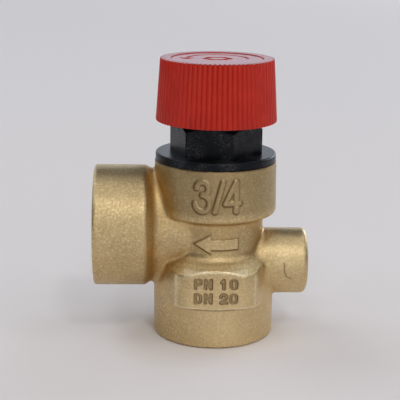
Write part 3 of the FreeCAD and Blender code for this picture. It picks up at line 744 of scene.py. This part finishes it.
def record_shade_and_wear(piece, field):
    """Stores how enclosed each point is, near by and further off, for painted shade; how far it stands out,
    for wear and painted highlight; its painted light and shade; and its grime and painted shade.
    """
    count = len(piece.data.vertices)
    points, normals = np.empty(3 * count), np.empty(3 * count)
    piece.data.vertices.foreach_get("co", points)
    piece.data.vertex_normals.foreach_get("vector", normals)
    points, normals = points.reshape(-1, 3) / MM, normals.reshape(-1, 3)
    # Nooks: how closely the skin is hemmed in, for painted shade in creases.
    nook = np.clip(1 - field(*(points + NOOK_REACH * normals).T) / NOOK_REACH, 0, 1)
    below_rim = smooth_step((BODY_TOP_Z - 0.6 - points[:, 2]) / 0.4)
    # Edges that stand out, for wear and painted highlight.
    edge = np.clip(1 + field(*(points - EDGE_REACH * normals).T) / EDGE_REACH, 0, 1) * below_rim
    edge = smooth_step((edge - EDGE_START) / EDGE_RUN)
    # Wide valleys, for painted shade with an orange interreflection.
    valley = np.zeros(count)
    shortest = 0.3
    for lean in VALLEY_LEANS:
        ahead = normals + np.array(lean)
        ahead /= np.maximum(np.linalg.norm(ahead, axis=1), shortest)[:, None]
        open_air = (ahead * normals).sum(axis=1) * VALLEY_REACH
        away = field(*(points + VALLEY_REACH * ahead).T) / np.maximum(open_air, 1)
        valley += np.clip(1.05 - away, 0, 1) / len(VALLEY_LEANS)
    store(piece, "nook", nook)
    store(piece, "edge", np.maximum(edge, pad_wear_and_highlight(*points.T)))
    store(piece, "valley", valley)
    store(piece, "tone", forging_light_and_shade(*points.T))
    store(piece, "grime_and_shade", outline_grime_and_shade(points))


def make_body():
    """Forging with its bores and threads."""
    margin = 1.5
    low = [edge - margin for edge in BODY_LOW]
    high = [edge + margin for edge in BODY_HIGH]
    body = skin("forged_body", forging, low, high, VOXEL)
    refine(body, forging, 1, worth_detail)
    refine(body, forging, 1, finest)
    cut(body, *body_cutters())
    body.data.materials.append(forged_brass())
    body.data.materials.append(turned_brass())
    body.data.polygons.foreach_set("material_index", machined(body.data).astype(np.int32))
    shade(body, 32)
    record_shade_and_wear(body, forging)
    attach(body, "body")
    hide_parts("valve_body")


def shade(piece, degrees):
    """Smooth shading, with edges sharper than an angle kept."""
    piece.data.shade_smooth()
    piece.data.set_sharp_from_angle(angle=math.radians(degrees))


# ---------------------------------------------------------------- cap

CAP_RIBS = 72
RIB_DEPTH = 0.36
CAP_BASE_R = 16.38
CAP_TOP_R = 15.28
CAP_BORE_R = 13.9
WEB_Z = 66.8
RECESS_Z = 68.5
RECESS_R = 11.4
BADGE_R = 12.4
STEM_HOLE_R = 3.4
RAMP_INNER_R = 9.6
RAMP_OUTER_R = 10.7
RAMP_FOOT_Z = 64.15
RAMP_LIFT = 2.0
RAMP_DEG = 70.0
RAMP_PEAK_DEG = 74.0
RAMP_DROP_DEG = 78.0
CAP_SEGMENTS = 8 * CAP_RIBS
CAM_STEPS = 360
GROOVE_SHARPNESS = 0.8


def ribbed(radius, depth):
    """One radius per segment: round crests with narrow grooves between them."""
    turns = np.arange(CAP_SEGMENTS) * math.pi * CAP_RIBS / CAP_SEGMENTS
    return radius - depth * (1 - np.abs(np.cos(turns)) ** GROOVE_SHARPNESS)


def cam_height(degrees):
    """Height of the cap's cam above its foot, which repeats every quarter turn."""
    degrees = degrees % 90
    rise = RAMP_LIFT * np.minimum(degrees, RAMP_PEAK_DEG) / RAMP_DEG
    fall = np.clip((RAMP_DROP_DEG - degrees) / (RAMP_DROP_DEG - RAMP_PEAK_DEG), 0, 1)
    return np.where(degrees <= RAMP_PEAK_DEG, rise, rise * fall)


def cap_cam():
    """Ring of four ramps under the cap's web."""
    points, faces = [], []
    root = WEB_Z + 0.2
    for i in range(CAM_STEPS):
        turn = 2 * math.pi * i / CAM_STEPS
        foot = RAMP_FOOT_Z + float(cam_height(i * 360 / CAM_STEPS))
        section = (RAMP_INNER_R, foot), (RAMP_OUTER_R, foot), (RAMP_OUTER_R, root), (RAMP_INNER_R, root)
        points += [(radius * math.cos(turn), radius * math.sin(turn), height) for radius, height in section]
        after = (i + 1) % CAM_STEPS
        faces += [
            (4 * i + j, 4 * after + j, 4 * after + (j + 1) % 4, 4 * i + (j + 1) % 4) for j in range(4)
        ]
    return mesh_object("cap_cam", points, faces)


def faces_up(mesh, lowest):
    """Which faces look upward above a height."""
    count = len(mesh.polygons)
    centres, normals = np.empty(3 * count), np.empty(3 * count)
    mesh.polygons.foreach_get("center", centres)
    mesh.polygons.foreach_get("normal", normals)
    upright = 0.8
    return (centres[2::3] / MM > lowest) & (normals[2::3] > upright)


def make_cap():
    """Ribbed hand cap with its skirt, web, cam and the seat of its badge."""
    base, top = CAP_LOW[2], CAP_HIGH[2]
    # Each row has its height, how far it lies inside the cone, and its share of the grooves' depth.
    rows = [(base, 0.22, 1.0), (base + 0.07, 0.08, 1.0), (base + 0.25, 0.0, 1.0)]
    rows += [(base + share * (top - base), 0.0, 1.0) for share in (0.25, 0.5, 0.75)]
    rows += [(top - 0.15, 0.0, 1.0), (top - 0.04, 0.03, 1.0), (top, 0.1, 0.9)]
    rings = []
    for height, inset, share in rows:
        radius = CAP_BASE_R + (CAP_TOP_R - CAP_BASE_R) * (height - base) / (top - base) - inset
        rings.append((height, ribbed(radius, RIB_DEPTH * share)))
    cap = lathe("ribbed_cap", rings, CAP_SEGMENTS)
    skirt = lathe("skirt", [
        (base - 1, CAP_BORE_R + 1.4), (base + 0.4, CAP_BORE_R),
        (WEB_Z - 0.5, CAP_BORE_R), (WEB_Z, CAP_BORE_R - 0.5),
    ], FINE_ROUND)
    recess = lathe("recess", [(RECESS_Z, RECESS_R), (top + 1, RECESS_R)], FINE_ROUND)
    seat = lathe("badge_seat", [
        (BADGE_LOW[2], BADGE_R), (top - 0.15, BADGE_R), (top + 1, BADGE_R + 1.15),
    ], FINE_ROUND)
    hole = lathe("stem_hole", [(WEB_Z - 1, STEM_HOLE_R), (RECESS_Z + 1, STEM_HOLE_R)])
    cut(cap, skirt, recess, seat, hole)
    joined(cap, cap_cam())
    cap.data.materials.append(red_plastic())
    cap.data.materials.append(red_badge())
    cap.data.polygons.foreach_set("material_index", faces_up(cap.data, top - 0.4).astype(np.int32))
    shade(cap, 38)
    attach(cap, "cap")
    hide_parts("cap")


# ---------------------------------------------------------------- badge in the cap

ARC_R = 8.2
ARC_HALF_WIDTH = 0.45
GROOVE_DEPTH = 0.3
NUT_R = 3.4
NUT_HALF_WIDTH = 0.7
NUT_SQUASH = 0.8        # the hexagon's height over a regular one's
BADGE_PLAY = 0.06
BADGE_EDGE = 0.25


def badge_groove(x, y):
    """Distance in the badge's plane to its sunk turning arrow and its plain hexagon."""
    arc = to_bow(x, y, (0, 0), ARC_R, 4, 176) - ARC_HALF_WIDTH
    tip = (-ARC_R, -1.3)
    head = [to_segment(x, y, tip, (-ARC_R + side * 1.5, 0.9)) - ARC_HALF_WIDTH for side in (-1, 1)]
    turns = [math.radians(60 * i) for i in range(6)]
    corners = [(NUT_R * math.cos(turn), NUT_SQUASH * NUT_R * math.sin(turn)) for turn in turns]
    sides = [to_segment(x, y, corners[i - 1], corners[i]) for i in range(6)]
    nut = np.minimum.reduce(sides) - NUT_HALF_WIDTH
    return np.minimum.reduce([arc, nut] + head)


def badge_field(x, y, z):
    """Distance to the cap's cover disc, with its grooves."""
    out = np.hypot(x, y)
    plate = overlap(out - BADGE_R + BADGE_PLAY, z - BADGE_HIGH[2], BADGE_EDGE)
    plate = np.maximum(plate, BADGE_LOW[2] - z)
    groove = np.maximum(badge_groove(x, y), BADGE_HIGH[2] - GROOVE_DEPTH - z)
    return np.maximum(plate, -groove)


def make_badge():
    """Cover disc of the cap."""
    margin = 0.6
    low = [edge - margin for edge in BADGE_LOW]
    high = [edge + margin for edge in BADGE_HIGH]
    badge = skin("cap_cover", badge_field, low, high, BADGE_VOXEL)
    badge.data.materials.append(red_plastic())
    badge.data.materials.append(red_badge())
    glossy = faces_up(badge.data, BADGE_HIGH[2] - GROOVE_DEPTH / 3)
    badge.data.polygons.foreach_set("material_index", glossy.astype(np.int32))
    shade(badge, 35)
    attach(badge, "cap")
    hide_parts("cap_badge")


# ---------------------------------------------------------------- materials

class Nodes:
    """Short names for building one material's node tree."""

    def __init__(self, name):
        self.material = bpy.data.materials.new(name)
        self.material.use_nodes = True
        self.tree = self.material.node_tree
        self.shader = self.tree.nodes["Principled BSDF"]
        self.where = self.add("ShaderNodeTexCoord").outputs["Object"]

    def add(self, kind, **settings):
        node = self.tree.nodes.new(kind)
        for key, value in settings.items():
            setattr(node, key, value)
        return node

    def link(self, source, target):
        self.tree.links.new(source, target)

    def fill(self, socket, value):
        """Links a socket to another one, or sets it."""
        if isinstance(value, bpy.types.NodeSocket):
            self.link(value, socket)
        else:
            socket.default_value = value

    def noise(self, size_mm, detail=3.0, roughness=0.5, distortion=0.0):
        """Noise whose features are about size_mm across."""
        node = self.add("ShaderNodeTexNoise")
        self.link(self.where, node.inputs["Vector"])
        node.inputs["Scale"].default_value = 1 / (size_mm * MM)
        node.inputs["Detail"].default_value = detail
        node.inputs["Roughness"].default_value = roughness
        node.inputs["Distortion"].default_value = distortion
        return node.outputs["Fac"]

    def stored(self, name):
        """A number that the mesh keeps per point."""
        return self.add("ShaderNodeAttribute", attribute_name=name).outputs["Fac"]

    def span(self, value, low, high, to_low=0.0, to_high=1.0):
        """Maps a value from one range to another, clamped."""
        node = self.add("ShaderNodeMapRange")
        for socket, number in zip(list(node.inputs)[:5], (value, low, high, to_low, to_high)):
            self.fill(socket, number)
        return node.outputs["Result"]

    def maths(self, operation, a, b):
        node = self.add("ShaderNodeMath", operation=operation)
        self.fill(node.inputs[0], a)
        self.fill(node.inputs[1], b)
        return node.outputs["Value"]

    def mix(self, share, a, b):
        node = self.add("ShaderNodeMix", data_type="RGBA")
        self.fill(node.inputs["Factor"], share)
        for key, value in (("A", a), ("B", b)):
            socket = next(s for s in node.inputs if s.name == key and s.type == "RGBA")
            self.fill(socket, (*value, 1.0) if isinstance(value, tuple) else value)
        return next(s for s in node.outputs if s.type == "RGBA")

    def bump(self, height, distance_mm, strength=1.0, under=None):
        node = self.add("ShaderNodeBump")
        node.inputs["Strength"].default_value = strength
        node.inputs["Distance"].default_value = distance_mm * MM
        self.link(height, node.inputs["Height"])
        if under:
            self.link(under, node.inputs["Normal"])
        return node.outputs["Normal"]

    def finish(self, **sockets):
        """Fills the shader's sockets; underscores in a name stand for spaces."""
        for key, value in sockets.items():
            socket = self.shader.inputs[key.replace("_", " ")]
            if isinstance(value, tuple):
                value = (*value, 1.0)
            self.fill(socket, value)
        return self.material


def once(maker):
    """A material is made at its first use, and shared after that."""
    made = {}

    def shared():
        if maker not in made:
            made[maker] = maker()
        return made[maker]
    return shared


@once
def forged_brass():
    """Shot-blasted brass: fine peened grain, a mottled tone, painted light and shade, grime and painted
    shade in nooks, wear and painted highlight on edges.
    """
    n = Nodes("forged_brass")
    grain = n.noise(0.38, 3, 0.6)
    speckle = n.noise(0.6, 4, 0.7)
    mottle = n.span(n.noise(6.0, 4, 0.6), 0.35, 0.65)
    colour = n.mix(mottle, (0.56, 0.415, 0.21), (0.64, 0.485, 0.25))
    colour = n.mix(n.maths("MULTIPLY", n.span(speckle, 0.52, 0.66), 0.45), colour, (0.97, 0.84, 0.56))
    colour = n.mix(n.maths("MULTIPLY", n.span(speckle, 0.48, 0.34), 0.38), colour, (0.33, 0.20, 0.08))
    # Painted shade, then painted light, part by part, from the tone attribute.
    colour = n.mix(n.span(n.stored("tone"), 0, -1, 0.0, 0.54), colour, (0.25, 0.18, 0.09))
    colour = n.mix(n.span(n.stored("tone"), 0, 1, 0.0, 0.5), colour, (0.90, 0.71, 0.40))
    # Painted shade with an orange cast of interreflection in wide valleys.
    colour = n.mix(n.span(n.stored("valley"), 0.08, 0.6, 0.0, 0.4), colour, (0.53, 0.29, 0.078))
    # Painted shade in creases, from the nook attribute, and grime with painted shade round the marks darken
    # the colour.
    nook = n.span(n.stored("nook"), 0.15, 0.6, 0.0, 0.6)
    dirt_and_shade = n.maths("MAXIMUM", nook, n.stored("grime_and_shade"))
    dirt_and_shade = n.maths("MULTIPLY", dirt_and_shade, n.span(speckle, 0.2, 0.6, 0.6, 0.9))
    colour = n.mix(dirt_and_shade, colour, (0.13, 0.062, 0.014))
    # Wear and painted highlight brighten the edges that stand out and the wrench pads' edges.
    edge = n.maths("MULTIPLY", n.stored("edge"), n.span(speckle, 0.35, 0.6, 0.45, 0.95))
    colour = n.mix(edge, colour, (0.98, 0.88, 0.66))
    peened = n.bump(grain, 0.1, 0.8)
    waves = n.bump(n.noise(2.2, 3, 0.6), 0.06, 0.5, peened)
    rough = n.span(grain, 0.3, 0.7, 0.36, 0.46)
    return n.finish(Base_Color=colour, Metallic=1.0, Roughness=rough, Normal=waves)


@once
def turned_brass():
    """Bright machined brass with fine tool marks."""
    n = Nodes("turned_brass")
    marks = n.noise(0.12, 4, 0.6)
    colour = n.mix(n.span(n.noise(3.0, 3), 0.35, 0.65), (0.80, 0.56, 0.25), (0.88, 0.66, 0.33))
    rough = n.span(marks, 0.3, 0.7, 0.2, 0.34)
    return n.finish(Base_Color=colour, Metallic=1.0, Roughness=rough, Normal=n.bump(marks, 0.015, 0.5))


@once
def black_nylon():
    """Glass-filled black nylon: satin, with pale scuffs and moulding texture."""
    n = Nodes("black_nylon")
    fleck = n.noise(0.35, 6, 0.75)
    patch = n.span(n.noise(5.0, 3), 0.42, 0.6)
    scuff = n.maths("MULTIPLY", n.span(fleck, 0.5, 0.64), patch)
    colour = n.mix(n.maths("MULTIPLY", scuff, 0.75), (0.003, 0.0032, 0.0045), (0.13, 0.13, 0.13))
    texture = n.noise(0.25, 4, 0.6)
    rough = n.span(texture, 0.3, 0.7, 0.27, 0.37)
    # The bluish specular tint is a painted reflection: it stands in for the cool light that the nylon
    # reflects.
    return n.finish(
        Base_Color=colour, Roughness=rough, Normal=n.bump(texture, 0.03, 0.4), Specular_IOR_Level=0.18,
        Specular_Tint=(0.82, 0.90, 1.0),
    )


@once
def red_plastic():
    """Moulded red plastic: satin, with faint flow marks and a fine texture."""
    n = Nodes("red_plastic")
    tone = n.span(n.noise(6.0, 3), 0.3, 0.7)
    colour = n.mix(tone, (0.50, 0.019, 0.008), (0.57, 0.026, 0.011))
    texture = n.noise(0.3, 4, 0.6)
    rough = n.span(texture, 0.3, 0.7, 0.36, 0.48)
    return n.finish(
        Base_Color=colour, Roughness=rough, Normal=n.bump(texture, 0.012, 0.3), Specular_IOR_Level=0.27,
    )


@once
def red_badge():
    """The cap's cover disc: the same red, a little glossier, with fine scratches."""
    n = Nodes("red_badge")
    scratch = n.noise(0.8, 6, 0.8, 1.5)
    colour = n.mix(n.span(n.noise(5.0, 3), 0.3, 0.7), (0.30, 0.010, 0.009), (0.36, 0.014, 0.012))
    rough = n.span(scratch, 0.35, 0.65, 0.22, 0.30)
    # The bluish specular tint is a painted reflection: it stands in for the cool light that the glossy top
    # reflects.
    return n.finish(
        Base_Color=colour, Roughness=rough, Normal=n.bump(scratch, 0.004, 0.25), Specular_IOR_Level=0.52,
        Specular_Tint=(0.80, 0.84, 1.0),
    )


@once
def black_rubber():
    """Moulded rubber: matt, with a faint bloom."""
    n = Nodes("black_rubber")
    bloom = n.span(n.noise(2.0, 4), 0.45, 0.75)
    colour = n.mix(bloom, (0.012, 0.012, 0.012), (0.045, 0.045, 0.045))
    texture = n.noise(0.15, 3)
    rough = n.span(bloom, 0, 1, 0.6, 0.78)
    return n.finish(Base_Color=colour, Roughness=rough, Normal=n.bump(texture, 0.02, 0.4))


@once
def natural_acetal():
    """Uncoloured acetal: off-white and slightly waxy."""
    n = Nodes("natural_acetal")
    colour = n.mix(n.span(n.noise(3.0, 3), 0.3, 0.7), (0.72, 0.70, 0.62), (0.82, 0.80, 0.73))
    texture = n.noise(0.3, 3)
    rough = n.span(texture, 0.3, 0.7, 0.34, 0.46)
    return n.finish(Base_Color=colour, Roughness=rough, Normal=n.bump(texture, 0.01, 0.4))


def steel(name, dark, light, rough_low, rough_high, grain_mm):
    """Plated, drawn or plain steel, by its tones and its grain."""
    n = Nodes(name)
    grain = n.noise(grain_mm, 4, 0.6)
    colour = n.mix(n.span(n.noise(2.0, 4), 0.35, 0.65), dark, light)
    rough = n.span(grain, 0.3, 0.7, rough_low, rough_high)
    return n.finish(Base_Color=colour, Metallic=1.0, Roughness=rough, Normal=n.bump(grain, 0.012, 0.5))


@once
def spring_steel():
    return steel("spring_steel", (0.30, 0.30, 0.31), (0.42, 0.42, 0.43), 0.28, 0.42, 0.2)


@once
def zinc_steel():
    return steel("zinc_steel", (0.55, 0.56, 0.58), (0.68, 0.69, 0.70), 0.3, 0.45, 0.3)


@once
def stainless_steel():
    return steel("stainless_steel", (0.50, 0.49, 0.47), (0.62, 0.61, 0.59), 0.2, 0.34, 0.15)


MATERIALS = {
    "forged_brass": forged_brass, "turned_brass": turned_brass, "black_nylon": black_nylon,
    "red_plastic": red_plastic, "red_badge": red_badge, "black_rubber": black_rubber,
    "natural_acetal": natural_acetal, "spring_steel": spring_steel, "zinc_steel": zinc_steel,
    "stainless_steel": stainless_steel,
}


def finish_cad_nodes():
    """Gives each CAD node that stays in view its slot's material."""
    slots = {part["node"]: part["material_slot"] for part in frame["record"]["subparts"]}
    for node, thing in frame["nodes"].items():
        material = MATERIALS[slots[node]]()
        for i in range(len(thing.material_slots)):
            thing.material_slots[i].material = material


# ---------------------------------------------------------------- stage, light and camera

CAMERA_YAW = 1.88       # degrees: how far the camera stands round to the left of the front
CAMERA_PITCH = 14.46
CAMERA_ROLL = 0.86
CAMERA_DISTANCE = 303.2
CAMERA_LENS = 99.2
CAMERA_SENSOR = 36.0
CAMERA_CLIP = 10.0
AIM_OFFSET = (-0.38, 0.0, -1.12)

FLOOR_SIZE = 6000
FLOOR_COLOUR = (0.87, 0.82, 0.80)
FLOOR_DROP = 0.2       # how far the floor lies below the part, so that the two never share a plane
BACKDROP_RADIUS = 1500
BACKDROP_HEIGHT = 8000
BACKDROP_COLOUR = (0.60, 0.595, 0.60)


def make_floor():
    """Pale matt floor."""
    bpy.ops.mesh.primitive_plane_add(size=FLOOR_SIZE * MM, location=(0, 0, -FLOOR_DROP * MM))
    floor = bpy.context.object
    floor.name = "floor"
    n = Nodes("floor")
    n.shader.inputs["Base Color"].default_value = (*FLOOR_COLOUR, 1)
    n.shader.inputs["Roughness"].default_value = 0.9
    n.shader.inputs["Specular IOR Level"].default_value = 0.1
    floor.data.materials.append(n.material)


def make_backdrop():
    """Pale wall round the floor. It is only seen: it lights nothing and shows in no reflection."""
    bpy.ops.mesh.primitive_cylinder_add(
        vertices=ROUND, radius=BACKDROP_RADIUS * MM, depth=BACKDROP_HEIGHT * MM, end_fill_type="NOTHING",
        location=(0, 0, (BACKDROP_HEIGHT / 2 - FLOOR_DROP) * MM),
    )
    wall = bpy.context.object
    wall.name = "backdrop"
    n = Nodes("backdrop")
    n.shader.inputs["Base Color"].default_value = (0, 0, 0, 1)
    n.shader.inputs["Specular IOR Level"].default_value = 0.0
    n.shader.inputs["Emission Color"].default_value = (*BACKDROP_COLOUR, 1)
    n.shader.inputs["Emission Strength"].default_value = 1.0
    wall.data.materials.append(n.material)
    wall.visible_diffuse = wall.visible_glossy = False
    wall.visible_transmission = wall.visible_shadow = False


def soft_light(name, place, aim, width, height, power, colour):
    """Rectangular area light; its place, aim and size are in millimetres."""
    data = bpy.data.lights.new(name, "AREA")
    data.shape = "RECTANGLE"
    data.size = width * MM
    data.size_y = height * MM
    data.energy = power
    data.color = colour
    lamp = bpy.data.objects.new(name, data)
    bpy.context.scene.collection.objects.link(lamp)
    lamp.location = Vector(place) * MM
    lamp.rotation_euler = (Vector(aim) - Vector(place)).to_track_quat("-Z", "Y").to_euler()


# Soft lights: azimuth from the front (positive to the right), elevation, width, height, power.
LIGHTS = (
    (-120, 58, 1100, 1100, 7.9),
    (120, 58, 1100, 1100, 6.6),
    (20, 50, 300, 300, 6.4),
    (180, 14, 3600, 900, 12.6),
    (140, 12, 1400, 800, 14.0),
    (0, 88, 1100, 1100, 4.3),
    (0, 32, 1100, 1100, 5.3),
    (-110, 32, 1100, 1100, 4.9),
    (-60, 58, 1100, 1100, 3.4),
    (70, 32, 1100, 1100, 5.2),
    (60, 58, 1100, 1100, 3.3),
    (-20, 50, 300, 300, 3.2),
    (-150, 32, 1100, 1100, 3.1),
    (-70, 32, 1100, 1100, 2.8),
    (0, 58, 1100, 1100, 1.3),
    (0, 8, 1100, 700, 4.1),
    (35, 32, 1100, 1100, 1.8),
    (110, 32, 1100, 1100, 1.3),
    (35, 8, 1100, 700, 3.4),
)
LIGHT_DISTANCE = 2500
LIGHT_AIM = (0, 0, 40)
BACK_AZIMUTH = 100      # lights further round than this shine from behind
BACK_LIGHT = (0.88, 0.95, 1.06)


def make_lights():
    """Soft studio lights and a dark world."""
    middle = Vector(LIGHT_AIM)
    for i, (azimuth, elevation, width, height, power) in enumerate(LIGHTS):
        turn, lift = math.radians(azimuth), math.radians(elevation)
        away = Vector((math.sin(turn) * math.cos(lift), -math.cos(turn) * math.cos(lift), math.sin(lift)))
        place = middle + away * LIGHT_DISTANCE
        colour = BACK_LIGHT if abs(azimuth) > BACK_AZIMUTH else (1, 1, 1)
        soft_light(f"soft_light_{i + 1}", place, middle, width, height, power, colour)
    world = bpy.data.worlds.new("studio")
    world.use_nodes = True
    world.node_tree.nodes["Background"].inputs["Strength"].default_value = 0.0
    bpy.context.scene.world = world


def make_camera():
    """Camera at the front, a little above and to the left."""
    low, high = [[value / MM for value in corner] for corner in CAD_BOX]
    aim = Vector([(low[i] + high[i]) / 2 + AIM_OFFSET[i] for i in range(3)])
    aim.y = 0
    yaw, pitch = math.radians(CAMERA_YAW), math.radians(CAMERA_PITCH)
    forward = Vector((math.sin(yaw) * math.cos(pitch), math.cos(yaw) * math.cos(pitch), -math.sin(pitch)))
    data = bpy.data.cameras.new("camera")
    data.lens = CAMERA_LENS
    data.sensor_width = CAMERA_SENSOR
    data.clip_start = CAMERA_CLIP * MM
    camera = bpy.data.objects.new("camera", data)
    bpy.context.scene.collection.objects.link(camera)
    camera.location = (aim - forward * CAMERA_DISTANCE) * MM
    turn = forward.to_track_quat("-Z", "Y").to_matrix() @ Matrix.Rotation(math.radians(CAMERA_ROLL), 3, "Z")
    camera.rotation_euler = turn.to_euler()
    bpy.context.scene.camera = camera


make_body()
make_cap()
make_badge()
finish_cad_nodes()
make_floor()
make_backdrop()
make_lights()
make_camera()
bpy.context.scene.view_settings.view_transform = "Standard"
